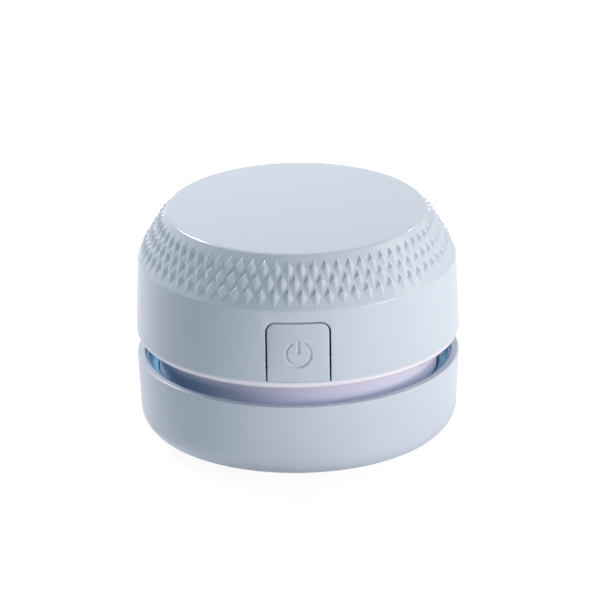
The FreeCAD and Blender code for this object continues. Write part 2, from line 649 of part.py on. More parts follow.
def circuit_board():
    """Ring board round the motor, with tongues out to the switch and to the port."""
    ring = cylinder(BOARD_RADIUS, BOARD_Z, BOARD_TOP)
    front_half = SWITCH_WIDTH / 2 + BOARD_TONGUE
    front = block(-front_half, front_half, SWITCH_Y + BOARD_SINK, -BOARD_BORE - BOARD_TONGUE,
                  BOARD_Z, BOARD_TOP)
    back_half = PORT_WIDTH / 2 + BOARD_TONGUE / 2
    back = block(-back_half, back_half, BOARD_BORE + BOARD_TONGUE, PORT_MOUTH_Y - PORT_OVERHANG,
                 BOARD_Z, BOARD_TOP)
    board = fused(ring, [front, back])
    holes = [cylinder(SCREW_RADIUS, BOARD_Z, BOARD_TOP, x, y) for x, y in post_places()]
    return cut_all(board, holes + [cylinder(BOARD_BORE, BOARD_Z, BOARD_TOP)])


def tact_switch():
    body = block(-SWITCH_WIDTH / 2, SWITCH_WIDTH / 2, SWITCH_Y, SWITCH_Y + SWITCH_DEPTH,
                 BOARD_TOP, BOARD_TOP + SWITCH_HEIGHT)
    depth = PLUNGER_LENGTH - PLUNGER_REACH + PRESS_TRAVEL + SLIDE_CLEAR
    bore = rod(PLUNGER_RADIUS + TURN_CLEAR, V(0, SWITCH_Y, PLUNGER_Z), V(0, 1, 0), depth)
    return body.cut(bore)


def tact_plunger():
    return rod(PLUNGER_RADIUS, V(0, PLUNGER_Y, PLUNGER_Z), V(0, 1, 0), PLUNGER_LENGTH)


def button_flap():
    """Flap let into the wall, hinged near its lower edge, with a post behind that meets the switch."""
    def face(depth):
        return revolve([(0, SKIRT_Z), (wall_radius(SKIRT_Z) - depth, SKIRT_Z),
                        (wall_radius(SHOULDER_Z) - depth, SHOULDER_Z), (0, SHOULDER_Z)])

    skin = face(BUTTON_SINK).cut(face(BUTTON_SINK + BUTTON_WALL))
    outline = rounded_prism(BUTTON_WIDTH, BUTTON_HEIGHT, BUTTON_CORNER, BUTTON_Z,
                            -(BODY_RADIUS + 1), -BODY_RADIUS / 2, "upper")
    plate = skin.common(outline)
    wall_y = -(wall_radius(HINGE_Z) - BUTTON_WALL / 2)
    half = BUTTON_WIDTH / 2 - EAR_GAP
    barrel = rod(HINGE_BARREL, V(-half, HINGE_Y, HINGE_Z), V(1, 0, 0), 2 * half)
    web = block(-half, half, wall_y, HINGE_Y, HINGE_Z - WEB / 2, HINGE_Z + WEB / 2)
    web = web.common(face(BUTTON_SINK + ROOT))
    post_tip = PLUNGER_Y - PUSHER_GAP
    post = rod(PUSHER_RADIUS, V(0, wall_y, PLUNGER_Z), V(0, 1, 0), post_tip - wall_y)
    flap = fused(plate, [barrel, web, post])
    return flap.cut(rod(PIN_RADIUS + TURN_CLEAR, V(-half, HINGE_Y, HINGE_Z), V(1, 0, 0), 2 * half))


def hinge_pin():
    return rod(PIN_RADIUS, V(-EAR_OUTER, HINGE_Y, HINGE_Z), V(1, 0, 0), 2 * EAR_OUTER)


def port_shell():
    """Drawn metal shell of the charging port, open towards +Y."""
    start = PORT_MOUTH_Y - PORT_LENGTH
    outer = rounded_prism(PORT_WIDTH, PORT_HEIGHT, PORT_HEIGHT * PORT_ROUND,
                          BOARD_TOP, start, PORT_MOUTH_Y, "all")
    inner_height = PORT_HEIGHT - 2 * PORT_WALL
    inner = rounded_prism(PORT_WIDTH - 2 * PORT_WALL, inner_height, inner_height * PORT_ROUND,
                          BOARD_TOP + PORT_WALL, start + PORT_BACK, PORT_MOUTH_Y, "all")
    return outer.cut(inner)


def port_tongue():
    start = PORT_MOUTH_Y - PORT_LENGTH + PORT_BACK
    return block(-TONGUE_WIDTH / 2, TONGUE_WIDTH / 2, start, PORT_MOUTH_Y - TONGUE_SINK,
                 PORT_Z - TONGUE_THICK / 2, PORT_Z + TONGUE_THICK / 2)


# ---------------------------------------------------------------- dust cup
def cup_rib(reach, top):
    """Upright rib on the cup's wall at azimuth 0."""
    return block(CUP_LOWER_BORE - reach, CUP_LOWER_BORE + ROOT, -RIB_WIDTH / 2, RIB_WIDTH / 2,
                 CUP_FLOOR_Z - ROOT, top)


def dust_cup():
    """Round cup with a rounded foot, an inlet that stands up from its floor, and seats for its fittings."""
    tube_top = CUP_FLOOR_Z + INLET_RISE
    cup = revolve([(INLET_RADIUS, FLOOR_GAP), (CUP_FOOT_RADIUS, FLOOR_GAP),
                   (CUP_FOOT_RADIUS, FLOOR_GAP + CUP_ROUND + ROOT), (CUP_RIM_RADIUS, RIM_Z),
                   (CUP_BORE, RIM_Z), (CUP_BORE, COLLAR_Z),
                   (CUP_LOWER_BORE, COLLAR_Z), (CUP_LOWER_BORE, CUP_FLOOR_Z),
                   (INLET_RADIUS + INLET_WALL, CUP_FLOOR_Z), (INLET_RADIUS + INLET_WALL, tube_top),
                   (INLET_RADIUS, tube_top)])
    cup = round_rims(cup, CUP_ROUND - CUP_WALL, [(CUP_LOWER_BORE, CUP_FLOOR_Z)])
    cup = round_rims(cup, RIM_ROUND, [(CUP_RIM_RADIUS, RIM_Z), (CUP_BORE, RIM_Z)])
    cup = fused(cup, around(cup_rib(RIB_REACH, FLANGE_Z - TURN_CLEAR), evenly(RIB_COUNT, RIB_FIRST_DEG)))
    beside = TAB_DEG / 2 + math.degrees((SLIDE_CLEAR + RIB_WIDTH / 2) / CUP_LOWER_BORE)
    guides = [angle + side * beside for angle in lug_angles() for side in (-1, 1)]
    cup = fused(cup, around(cup_rib(GUIDE_REACH, FLANGE_TOP), guides))
    cup = round_rims(cup, CUP_ROUND, [(CUP_FOOT_RADIUS, FLOOR_GAP)])
    groove = tube(BRUSH_OUTER, BRUSH_INNER, FLOOR_GAP, FLOOR_GAP + BRUSH_GROOVE)
    pocket = cylinder(PAD_RADIUS, FLOOR_GAP, FLOOR_GAP + POCKET, PAD_CIRCLE)
    return cut_all(cup, [groove] + around(pocket, evenly(PAD_COUNT, DIAGONAL_DEG)))


def locking_collar():
    """Ring in the cup's mouth that the neck's lugs drop through and turn under."""
    ring = revolve([(COLLAR_BORE, COLLAR_Z), (CUP_BORE, COLLAR_Z), (CUP_BORE, COLLAR_TOP + LINER),
                    (CUP_BORE - LINER_WALL, COLLAR_TOP + LINER), (CUP_BORE - LINER_WALL, COLLAR_TOP),
                    (COLLAR_BORE + CHAMFER, COLLAR_TOP), (COLLAR_BORE, COLLAR_TOP - CHAMFER)])
    gap_deg = math.degrees(LUG_GAP / LUG_RADIUS)
    mouth_deg = LUG_DEG + 2 * gap_deg
    stops = []
    mouths = []
    for angle in lug_angles():
        mouths.append(sector(COLLAR_BORE - 1, COLLAR_MOUTH, COLLAR_Z - 1, COLLAR_TOP + 1,
                             angle, mouth_deg))
        far = angle - TWIST_DEG - LUG_DEG / 2 - gap_deg - STOP_DEG / 2
        near = angle + LUG_DEG / 2 + gap_deg + STOP_DEG / 2
        for middle in (far, near):
            stops.append(sector(COLLAR_BORE, COLLAR_MOUTH, COLLAR_Z - LUG_HEIGHT * STOP_SHARE,
                                COLLAR_Z + ROOT, middle, STOP_DEG))
    return cut_all(fused(ring, stops), mouths)


def inlet_guard():
    """Snap-in ring with a cross of bars that keeps large things out of the inlet."""
    z0 = FLOOR_GAP + GUARD_SINK
    reach = INLET_RADIUS - GUARD_RING / 2
    ring = tube(INLET_RADIUS, INLET_RADIUS - GUARD_RING, z0, z0 + GUARD_HEIGHT)
    bar = block(-reach, reach, -GUARD_BAR / 2, GUARD_BAR / 2, z0, z0 + GUARD_HEIGHT)
    return fused(ring, around(bar, [0, 90]))


def brush_carrier():
    return tube(BRUSH_OUTER, BRUSH_INNER, FLOOR_GAP - BRUSH_PROUD, FLOOR_GAP + BRUSH_GROOVE)


def brush_tufts():
    """Ring of stubby tufts that hang from the carrier and end just above the table."""
    middle = (BRUSH_INNER + BRUSH_OUTER) / 2
    top = FLOOR_GAP - BRUSH_PROUD
    band = tube(middle + TUFT_RADIUS / 2, middle - TUFT_RADIUS / 2, top - TUFT_BAND, top)
    corners = [V(middle + TUFT_RADIUS * math.cos(a), TUFT_RADIUS * math.sin(a), TUFT_FLOOR_CLEAR)
               for a in [math.radians(d) for d in evenly(TUFT_SIDES)]]
    tuft = Part.Face(Part.makePolygon(corners + [corners[0]])).extrude(V(0, 0, top - TUFT_FLOOR_CLEAR))
    return fused(band, around(tuft, evenly(TUFT_COUNT)))


def glide_pad(angle):
    top = FLOOR_GAP + POCKET
    pad = revolve([(0, 0), (PAD_RADIUS - CHAMFER, 0), (PAD_RADIUS, CHAMFER), (PAD_RADIUS, top), (0, top)])
    pad.translate(V(PAD_CIRCLE, 0, 0))
    return around(pad, [angle])[0]


# ---------------------------------------------------------------- filter
def filter_frame():
    """Basket for the filter: spoked floor, sleeve that snaps into the neck, flange with three tabs."""
    lip = SLEEVE_BORE - FRAME_LIP
    frame = revolve([(lip, FLANGE_Z), (FLANGE_RADIUS, FLANGE_Z), (FLANGE_RADIUS, FLANGE_TOP),
                     (SLEEVE_RADIUS, FLANGE_TOP), (SLEEVE_RADIUS, SNAP_Z),
                     (SNAP_RADIUS, SNAP_Z + SNAP_HEIGHT / 3), (SNAP_RADIUS, SNAP_Z + SNAP_HEIGHT * 2 / 3),
                     (SLEEVE_RADIUS, SNAP_Z + SNAP_HEIGHT), (SLEEVE_RADIUS, SLEEVE_TOP - CHAMFER),
                     (SLEEVE_RADIUS - CHAMFER, SLEEVE_TOP), (SLEEVE_BORE, SLEEVE_TOP),
                     (SLEEVE_BORE, FLANGE_TOP), (lip, FLANGE_TOP)])
    spoke = block(0, SLEEVE_BORE, -FRAME_SPOKE / 2, FRAME_SPOKE / 2, FLANGE_Z, FLANGE_TOP)
    tabs = [sector(FLANGE_RADIUS - ROOT, LUG_RADIUS, FLANGE_Z, FLANGE_TOP, angle, TAB_DEG)
            for angle in lug_angles()]
    hub = cylinder(FRAME_HUB, FLANGE_Z, FLANGE_TOP)
    return fused(frame, around(spoke, evenly(FRAME_SPOKES)) + tabs + [hub])


def filter_pad():
    """Pleated filter paper, cut round to fill the sleeve."""
    z0 = FLANGE_TOP
    rise = PLEAT_HEIGHT - PLEAT_THICK
    count = int(math.ceil(SLEEVE_BORE / PLEAT_PITCH)) + 1
    lower = []
    for k in range(-2 * count, 2 * count + 1):
        lower.append(V(k * PLEAT_PITCH / 2, -SLEEVE_BORE, z0 + rise * (k % 2)))
    upper = [p + V(0, 0, PLEAT_THICK) for p in reversed(lower)]
    sheet = Part.Face(Part.makePolygon(lower + upper + [lower[0]])).extrude(V(0, 2 * SLEEVE_BORE, 0))
    return sheet.common(cylinder(SLEEVE_BORE, z0, z0 + PLEAT_HEIGHT))


def seal_ring():
    """Soft ring on the basket's flange, which the neck's end turns on."""
    return tube(NECK_RADIUS - SEAL_OVERLAP, NECK_BORE + SLIDE_CLEAR, FLANGE_TOP, SEAL_TOP)


# ---------------------------------------------------------------- write the pieces
def build():
    os.makedirs("parts", exist_ok=True)
    save("top_shell", top_shell())
    save("chassis", chassis())
    save("fan_shroud", fan_shroud())
    save("impeller", impeller())
    save("rotor_shaft", rotor_shaft())
    save("motor_can", motor_can())
    save("motor_end_cap", motor_end_cap())
    for k, side in enumerate((-1, 1)):
        save("motor_terminal_%d" % (k + 1), motor_terminal(side))
    for k, (x, y) in enumerate(motor_screw_places()):
        save("motor_screw_%d" % (k + 1), motor_screw(x, y))
    for k, (x, y) in enumerate(boss_places()):
        save("deck_screw_%d" % (k + 1), screw(x, y, DECK_Z, DECK + SCREW_BITE, False))
    for k, (x, y) in enumerate(post_places()):
        save("board_screw_%d" % (k + 1), screw(x, y, BOARD_TOP, BOARD_TOP - DECK_TOP - PILOT_SPARE, True))
    save("battery_cell", battery_cell())
    save("battery_tape", battery_tape())
    save("circuit_board", circuit_board())
    save("tact_switch", tact_switch())
    save("tact_plunger", tact_plunger())
    save("button_flap", button_flap())
    save("hinge_pin", hinge_pin())
    save("port_shell", port_shell())
    save("port_tongue", port_tongue())
    save("dust_cup", dust_cup())
    save("locking_collar", locking_collar())
    save("inlet_guard", inlet_guard())
    save("brush_carrier", brush_carrier())
    save("brush_tufts", brush_tufts())
    for k, angle in enumerate(evenly(PAD_COUNT, DIAGONAL_DEG)):
        save("glide_pad_%d" % (k + 1), glide_pad(angle))
    save("filter_frame", filter_frame())
    save("filter_pad", filter_pad())
    save("seal_ring", seal_ring())


build()
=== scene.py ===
import bmesh
import bpy
import math
from mathutils import Matrix, Vector


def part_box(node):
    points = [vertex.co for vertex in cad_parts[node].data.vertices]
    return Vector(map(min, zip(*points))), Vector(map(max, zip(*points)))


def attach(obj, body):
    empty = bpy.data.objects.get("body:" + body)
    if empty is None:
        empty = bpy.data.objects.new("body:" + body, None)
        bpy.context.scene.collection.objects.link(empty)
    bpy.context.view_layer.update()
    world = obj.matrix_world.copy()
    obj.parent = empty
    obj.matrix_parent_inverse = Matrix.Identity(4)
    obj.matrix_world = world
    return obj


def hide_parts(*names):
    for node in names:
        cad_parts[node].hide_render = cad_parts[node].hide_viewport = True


# Looks of a desktop mini vacuum cleaner: satin pale shell with a knurled shoulder, power button,
# lavender neck, blue locking collar, dust cup, filter and brush. Sizes are millimetres until the
# mesh is made; +Z is up, the button looks towards -Y.

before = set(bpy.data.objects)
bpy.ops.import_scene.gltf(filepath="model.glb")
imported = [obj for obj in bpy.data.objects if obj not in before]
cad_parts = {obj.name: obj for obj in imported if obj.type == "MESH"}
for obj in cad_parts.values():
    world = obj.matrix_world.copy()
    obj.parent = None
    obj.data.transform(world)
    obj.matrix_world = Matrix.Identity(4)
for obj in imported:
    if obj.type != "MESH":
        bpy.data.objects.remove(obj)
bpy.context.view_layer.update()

MM = 0.001
SEEN = Matrix.Scale(MM, 4)     # millimetres to the scene's metres


def size_of(node):
    low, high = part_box(node)
    return low / MM, high / MM


# ---------------------------------------------------------------- sizes, read from the solids
shell_low, shell_high = size_of("top_shell")
cup_low, cup_high = size_of("dust_cup")

BODY_RADIUS = round(shell_high.x, 1)
TOP_Z = shell_high.z
SKIRT_Z = shell_low.z
RIM_Z = cup_high.z
CUP_Z = cup_low.z
BUTTON_Z = size_of("button_flap")[0].z

# ---------------------------------------------------------------- sizes of the shell
DISC_RADIUS = BODY_RADIUS - 8.5
SHOULDER_Z = TOP_Z - 13.0
SHOULDER_RADIUS = BODY_RADIUS - 0.6
WALL = 2.4
TOP_ROUND = 1.0
SHOULDER_ROUND = 1.5
SKIRT_ROUND = 2.3
INNER_DROP = 1.0          # how much lower the shoulder lies inside
WALL_SLOPE = (BODY_RADIUS - SHOULDER_RADIUS) / (SHOULDER_Z - SKIRT_Z - SKIRT_ROUND)
CONE_ANGLE = math.atan2(TOP_Z - SHOULDER_Z, SHOULDER_RADIUS - DISC_RADIUS)
PORT_MARGIN = 0.4         # gap round the charging port
PORT_ROUND = 0.49         # its corners' rounding, as a share of the opening's height
CUT_OUTSIDE = 1.0         # how far a cutter stands out of the wall
CUT_INSIDE = 3.0          # and reaches in past it

KNURL_COUNT = 70          # diamonds in a row
KNURL_TURN_DEG = -0.9
KNURL_DROP = 8.2          # from the disc's edge down the cone to the middle row
KNURL_SPACING = 3.65      # from row to row
KNURL_TIP = 2.8           # from a diamond's middle to its upper and lower ends
KNURL_GROUND = 0.3        # flat ground left round each diamond
KNURL_HEIGHT = 0.85
KNURL_LEAN = 1.15         # how far up the slope the points lie
KNURL_SIDES_UP = 0.3      # how far up the slope a diamond is widest
KNURL_SOFTEN = 0.16       # rounding of the ridges

# ---------------------------------------------------------------- sizes of the button
BUTTON_WIDTH = 16.2
BUTTON_HEIGHT = 15.9
BUTTON_CORNER = 2.4
BUTTON_SLOT = 0.45        # gap at the sides and the top
BUTTON_SLOT_BELOW = 0.06
SLOT_SOFTEN = 0.15        # rounding of the edges along the slot
SLOT_EDGE_DEG = 50        # edges sharper than this are rounded
BUTTON_SINK = 0.05        # how far the button lies behind the wall's face
BUTTON_WALL = 1.9
BARREL_RADIUS = 1.35      # of the barrel round the hinge pin
BARREL_END_GAP = 0.2      # how much the barrel is short of the button's sides
WEB_HEIGHT = 1.9          # of the web from the barrel to the plate
POST_RADIUS = 1.4         # of the post that pushes the switch
POST_TIP_GAP = 0.05
SIGN_Z = 38.2             # middle of the power sign's ring
SIGN_RADIUS = 3.25
SIGN_STROKE = 1.15
SIGN_DEPTH = 0.5
SIGN_FLOOR = 0.4          # width of the sign's floor, as a share of the stroke
SIGN_PROUD = 0.5          # how far the cutters stand out of the face
SIGN_GAP_DEG = 27.0       # half of the ring's opening
SIGN_BAR_TOP = 42.1
SIGN_BAR_LENGTH = 3.8


def mm(*xyz):
    return Vector(xyz) * MM


# ---------------------------------------------------------------- shaping helpers
ROUND_STEPS = 8           # faces round a corner of a turned outline
PLATE_STEPS = 10          # and round a plate's corner
ROD_SIDES = 24
JOIN_WITHIN = 2e-6        # corners of a solid's mesh this close are one, in metres
FLAT_DEG = 1              # its faces that bend less than this are one
BROKEN_EDGE_DEG = 40      # its edges sharper than this are broken


def revolved(outline, steps):
    """Closed shape turned about Z from corners (radius, height, rounding)."""
    bm = bmesh.new()
    corners = [bm.verts.new((r, 0, z)) for r, z, _ in outline]
    sharp = [corner.co.copy() for corner in corners]
    for k, corner in enumerate(corners):
        if outline[k - 1][0] or outline[k][0]:
            bm.edges.new((corners[k - 1], corner))
    for k, (_, _, rounding) in enumerate(outline):
        if rounding:
            here, after = sharp[k], sharp[(k + 1) % len(sharp)]
            half = (sharp[k - 1] - here).angle(after - here) / 2
            bmesh.ops.bevel(bm, geom=[corners[k]], offset=rounding / math.tan(half), offset_type="OFFSET",
                            segments=ROUND_STEPS, profile=0.5, affect="VERTICES", material=-1)
    bmesh.ops.spin(bm, geom=bm.verts[:] + bm.edges[:], cent=(0, 0, 0), axis=(0, 0, 1),
                   angle=2 * math.pi, steps=steps, use_merge=True)
    bmesh.ops.remove_doubles(bm, verts=bm.verts, dist=1e-4)
    bmesh.ops.recalc_face_normals(bm, faces=bm.faces)
    return bm


def box(x0, x1, y0, y1, z0, z1):
    bm = bmesh.new()
    place = Matrix.Translation(((x0 + x1) / 2, (y0 + y1) / 2, (z0 + z1) / 2))
    bmesh.ops.create_cube(bm, size=1, matrix=place @ Matrix.Diagonal((x1 - x0, y1 - y0, z1 - z0, 1)))
    return bm


def upright_plate(width, height, corner, low_z, y0, y1, upper_only):
    """Plate across X whose corners, seen from the front, are rounded."""
    bm = box(-width / 2, width / 2, y0, y1, low_z, low_z + height)
    across = [e for e in bm.edges if abs(e.verts[0].co.y - e.verts[1].co.y) > 1e-6]
    if upper_only:
        across = [e for e in across if e.verts[0].co.z > low_z + height / 2]
    bmesh.ops.bevel(bm, geom=across, offset=corner, offset_type="OFFSET", segments=PLATE_STEPS,
                    profile=0.5, affect="EDGES", material=-1)
    return bm


def rod(radius, length, place):
    bm = bmesh.new()
    bmesh.ops.create_cone(bm, cap_ends=True, segments=ROD_SIDES, radius1=radius, radius2=radius, depth=length,
                          matrix=place)
    return bm


def loose(name, bm):
    mesh = bpy.data.meshes.new(name)
    bm.to_mesh(mesh)
    bm.free()
    piece = bpy.data.objects.new(name, mesh)
    bpy.context.scene.collection.objects.link(piece)
    return piece


def combined(bm, others, operation):
    """A shape with other closed shapes cut out of it, or kept where they overlap it."""
    whole = loose("whole", bm)
    tools = [loose("tool", other) for other in others]
    for tool in tools:
        change = whole.modifiers.new("change", "BOOLEAN")
        change.operation = operation
        change.solver = "EXACT"
        change.object = tool
    depsgraph = bpy.context.evaluated_depsgraph_get()
    result = bmesh.new()
    result.from_mesh(whole.evaluated_get(depsgraph).to_mesh())
    for piece in [whole] + tools:
        bpy.data.objects.remove(piece)
    return result


def joined(bm, others):
    """One mesh that holds several shapes."""
    for other in others:
        part = bpy.data.meshes.new("part")
        other.to_mesh(part)
        other.free()
        bm.from_mesh(part)
        bpy.data.meshes.remove(part)
    return bm


def turned(bm, degrees):
    turn = Matrix.Rotation(math.radians(degrees), 3, "Z")
    bmesh.ops.rotate(bm, verts=bm.verts, cent=(0, 0, 0), matrix=turn)
    return bm


def placed(name, bm, body, material, stands_for, sharp_deg=30):
    """Puts a shape made in millimetres into the scene as a finished piece."""
    bmesh.ops.transform(bm, matrix=SEEN, verts=bm.verts)
    piece = loose(name, bm)
    piece.data.materials.clear()
    piece.data.materials.append(material)
    piece.data.shade_smooth()
    piece.data.set_sharp_from_angle(angle=math.radians(sharp_deg))
    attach(piece, body)
    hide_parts(*stands_for)
    return piece


def refined(node, body, material, edge):
    """A clean copy of a solid with smooth round faces and softly broken edges."""
    bm = bmesh.new()
    bm.from_mesh(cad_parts[node].data)
    bmesh.ops.remove_doubles(bm, verts=bm.verts, dist=JOIN_WITHIN)
    bmesh.ops.dissolve_limit(bm, angle_limit=math.radians(FLAT_DEG), verts=bm.verts, edges=bm.edges)
    bmesh.ops.transform(bm, matrix=SEEN.inverted(), verts=bm.verts)
    piece = placed(node + "_finished", bm, body, material, [node])
    clear_old_normals(piece)
    bevel = piece.modifiers.new("edges", "BEVEL")
    bevel.width = edge * MM
    bevel.segments = 2
    bevel.limit_method = "ANGLE"
    bevel.angle_limit = math.radians(BROKEN_EDGE_DEG)
    return piece


def clear_old_normals(piece):
    old = piece.data.attributes.get("custom_normal")
    if old:
        piece.data.attributes.remove(old)


# ---------------------------------------------------------------- materials
PLASTIC_IOR = 1.46
GLOSS_VARY = 0.12         # how much the roughness goes up and down, as a share
BROAD_PER_MM = 0.06       # broad changes of colour
GRAIN_STRENGTH = 0.35


def srgb(red, green, blue):
    """Linear colour from 0 to 255 values."""
    def linear(v):
        v = v / 255
        return v / 12.92 if v <= 0.04045 else ((v + 0.055) / 1.055) ** 2.4
    return (linear(red), linear(green), linear(blue), 1.0)


def shaded(name, colour, roughness, grain_per_mm=6.0, grain=0.02, vary=0.03, metal=0.0, painted_skirt_light=None):
    """Surface with a fine grain in its height, gloss and colour."""
    material = bpy.data.materials.new(name)
    material.use_nodes = True
    nodes = material.node_tree.nodes
    links = material.node_tree.links
    shader = nodes["Principled BSDF"]
    shader.inputs["Metallic"].default_value = metal
    shader.inputs["IOR"].default_value = PLASTIC_IOR
    place = nodes.new("ShaderNodeTexCoord")
    fine = nodes.new("ShaderNodeTexNoise")
    fine.inputs["Scale"].default_value = grain_per_mm / MM
    fine.inputs["Detail"].default_value = 3.0
    broad = nodes.new("ShaderNodeTexNoise")
    broad.inputs["Scale"].default_value = BROAD_PER_MM / MM
    broad.inputs["Detail"].default_value = 2.0
    links.new(place.outputs["Object"], fine.inputs["Vector"])
    links.new(place.outputs["Object"], broad.inputs["Vector"])
    gloss = nodes.new("ShaderNodeMapRange")
    gloss.inputs["To Min"].default_value = roughness * (1 - GLOSS_VARY)
    gloss.inputs["To Max"].default_value = roughness * (1 + GLOSS_VARY)
    links.new(fine.outputs["Fac"], gloss.inputs["Value"])
    links.new(gloss.outputs["Result"], shader.inputs["Roughness"])
    tint = nodes.new("ShaderNodeMix")
    tint.data_type = "RGBA"
    tint.inputs["A"].default_value = tuple(c * (1 - vary) for c in colour[:3]) + (1.0,)
    tint.inputs["B"].default_value = tuple(min(1.0, c * (1 + vary)) for c in colour[:3]) + (1.0,)
    links.new(broad.outputs["Fac"], tint.inputs["Factor"])
    links.new(tint.outputs["Result"], shader.inputs["Base Color"])
    # Painted light: an optional paler band near the lower edge stands in for light bounced up from below.
    if painted_skirt_light:
        add_painted_skirt_light(nodes, links, place, tint, shader, *painted_skirt_light)
    bump = nodes.new("ShaderNodeBump")
    bump.inputs["Strength"].default_value = GRAIN_STRENGTH
    bump.inputs["Distance"].default_value = grain * MM
    links.new(fine.outputs["Fac"], bump.inputs["Height"])
    links.new(bump.outputs["Normal"], shader.inputs["Normal"])
    return material


def add_painted_skirt_light(nodes, links, place, tint, shader, colour, low_z, high_z):
    """Painted light: a paler colour below low_z, fading out up to high_z, that stands in for light bounced up
    onto the skirt's lower rounding.
    """
    split = nodes.new("ShaderNodeSeparateXYZ")
    links.new(place.outputs["Object"], split.inputs[0])
    fade = nodes.new("ShaderNodeMapRange")
    fade.inputs["From Min"].default_value = high_z * MM
    fade.inputs["From Max"].default_value = low_z * MM
    links.new(split.outputs["Z"], fade.inputs["Value"])
    over = nodes.new("ShaderNodeMix")
    over.data_type = "RGBA"
    over.inputs["B"].default_value = colour
    links.new(fade.outputs["Result"], over.inputs["Factor"])
    links.new(tint.outputs["Result"], over.inputs["A"])
    links.new(over.outputs["Result"], shader.inputs["Base Color"])


SATIN_COLOUR = srgb(206, 214, 225)
# Painted light: pale pinkish-white on the skirt's lower rounding stands in for light bounced up onto it from
# below.
PAINTED_SKIRT_LIGHT = (srgb(250, 242, 250), SKIRT_Z + 1.6, SKIRT_Z + 2.4)

shell_satin = shaded("shell_satin", SATIN_COLOUR, 0.21, grain=0.006, vary=0.01, painted_skirt_light=PAINTED_SKIRT_LIGHT)
cup_satin = shaded("cup_satin", SATIN_COLOUR, 0.3, grain=0.006, vary=0.01)
neck_satin = shaded("neck_satin", srgb(233, 228, 246), 0.42, grain=0.008)
collar_blue = shaded("collar_blue", srgb(126, 202, 232), 0.3, grain=0.006)
inner_white = shaded("inner_white", srgb(214, 216, 219), 0.45, grain=0.01)
filter_fleece = shaded("filter_fleece", srgb(226, 226, 220), 0.92, grain_per_mm=2.5, grain=0.12, vary=0.06)
soft_black = shaded("soft_black", srgb(44, 45, 48), 0.7, grain_per_mm=4.0, grain=0.03, vary=0.1)
brush_grey = shaded("brush_grey", srgb(70, 73, 80), 0.5, grain=0.01)
bristle_nylon = shaded("bristle_nylon", srgb(58, 61, 68), 0.4, grain=0.01, vary=0.15)
plated_steel = shaded("plated_steel", srgb(198, 198, 200), 0.28, grain_per_mm=9.0, grain=0.004, metal=1.0)
# Painted shade: the hinge pin is made dark so that, where it shows through the button's side slots, the slots
# read as deep shade.
pin_steel_painted_shade = shaded("pin_steel_painted_shade", srgb(70, 70, 73), 0.35, grain_per_mm=9.0, grain=0.004, metal=1.0)
warm_brass = shaded("warm_brass", srgb(222, 186, 110), 0.3, grain=0.004, metal=1.0)
foil_wrap = shaded("foil_wrap", srgb(190, 194, 200), 0.3, grain_per_mm=1.2, grain=0.05)
foam_black = shaded("foam_black", srgb(40, 40, 42), 0.95, grain_per_mm=3.0, grain=0.15, vary=0.15)
board_green = shaded("board_green", srgb(28, 98, 62), 0.35, grain_per_mm=1.5, grain=0.02, vary=0.08)
black_moulded = shaded("black_moulded", srgb(30, 30, 32), 0.4, grain=0.008)


# ---------------------------------------------------------------- motor unit: shell
def wall_radius(z):
    return BODY_RADIUS - WALL_SLOPE * (z - SKIRT_Z - SKIRT_ROUND)


def on_cone(down):
    """Radius and height of the place this far down the cone from the flat top's edge."""
    return DISC_RADIUS + down * math.cos(CONE_ANGLE), TOP_Z - down * math.sin(CONE_ANGLE)


def knurl_rows():
    """How far down the cone the three rows of peaks lie."""
    return [KNURL_DROP + step * KNURL_SPACING for step in (-1, 0, 1)]


def knurl_raised(bm):
    """Turns the lattice of corners along the rows into diamonds and lifts each one to a point."""
    step = math.pi / KNURL_COUNT
    middles = []
    for row, down in enumerate(knurl_rows()):
        radius, height = on_cone(down)
        for corner in bm.verts:
            off_row = abs(math.hypot(corner.co.x, corner.co.y) - radius) + abs(corner.co.z - height)
            turn = round(math.atan2(corner.co.y, corner.co.x) / step)
            if off_row < 1e-3 and (turn + row) % 2 == 0:
                middles.append(corner)
    for face in {f for middle in middles for f in middle.link_faces}:
        low = [corner for corner in face.verts if corner not in middles]
        if len(low) == 3:
            lifted = next(corner for corner in face.verts if corner in middles)
            low = [corner for corner in low if lifted in [e.other_vert(corner) for e in corner.link_edges]]
        bmesh.utils.face_split(face, low[0], low[1])
    places = [middle.co.copy() for middle in middles]
    diamonds = []
    for middle in middles:
        diamonds += bmesh.ops.dissolve_faces(bm, faces=list(middle.link_faces))["region"]
    bmesh.ops.inset_individual(bm, faces=diamonds, thickness=KNURL_GROUND, use_even_offset=True)
    for face, place in zip(diamonds, places):
        down_slope = slope_at(place)
        for corner in face.verts:
            along = (corner.co - place).dot(down_slope)
            tip = abs(along) > KNURL_TIP / 2
            corner.co += down_slope * ((math.copysign(KNURL_TIP, along) if tip else -KNURL_SIDES_UP) - along)
    peaks = bmesh.ops.poke(bm, faces=diamonds, offset=KNURL_HEIGHT)["verts"]
    for peak in peaks:
        peak.co -= slope_at(peak.co) * KNURL_LEAN
    ridges = list({e for peak in peaks for e in peak.link_edges})
    bmesh.ops.bevel(bm, geom=ridges, offset=KNURL_SOFTEN, offset_type="OFFSET", segments=2, profile=0.5,
                    affect="EDGES", material=-1)
    return bm


def slope_at(place):
    """Direction straight down the cone."""
    outward = Vector((place.x, place.y, 0)).normalized()
    return outward * math.cos(CONE_ANGLE) - Vector((0, 0, math.sin(CONE_ANGLE)))


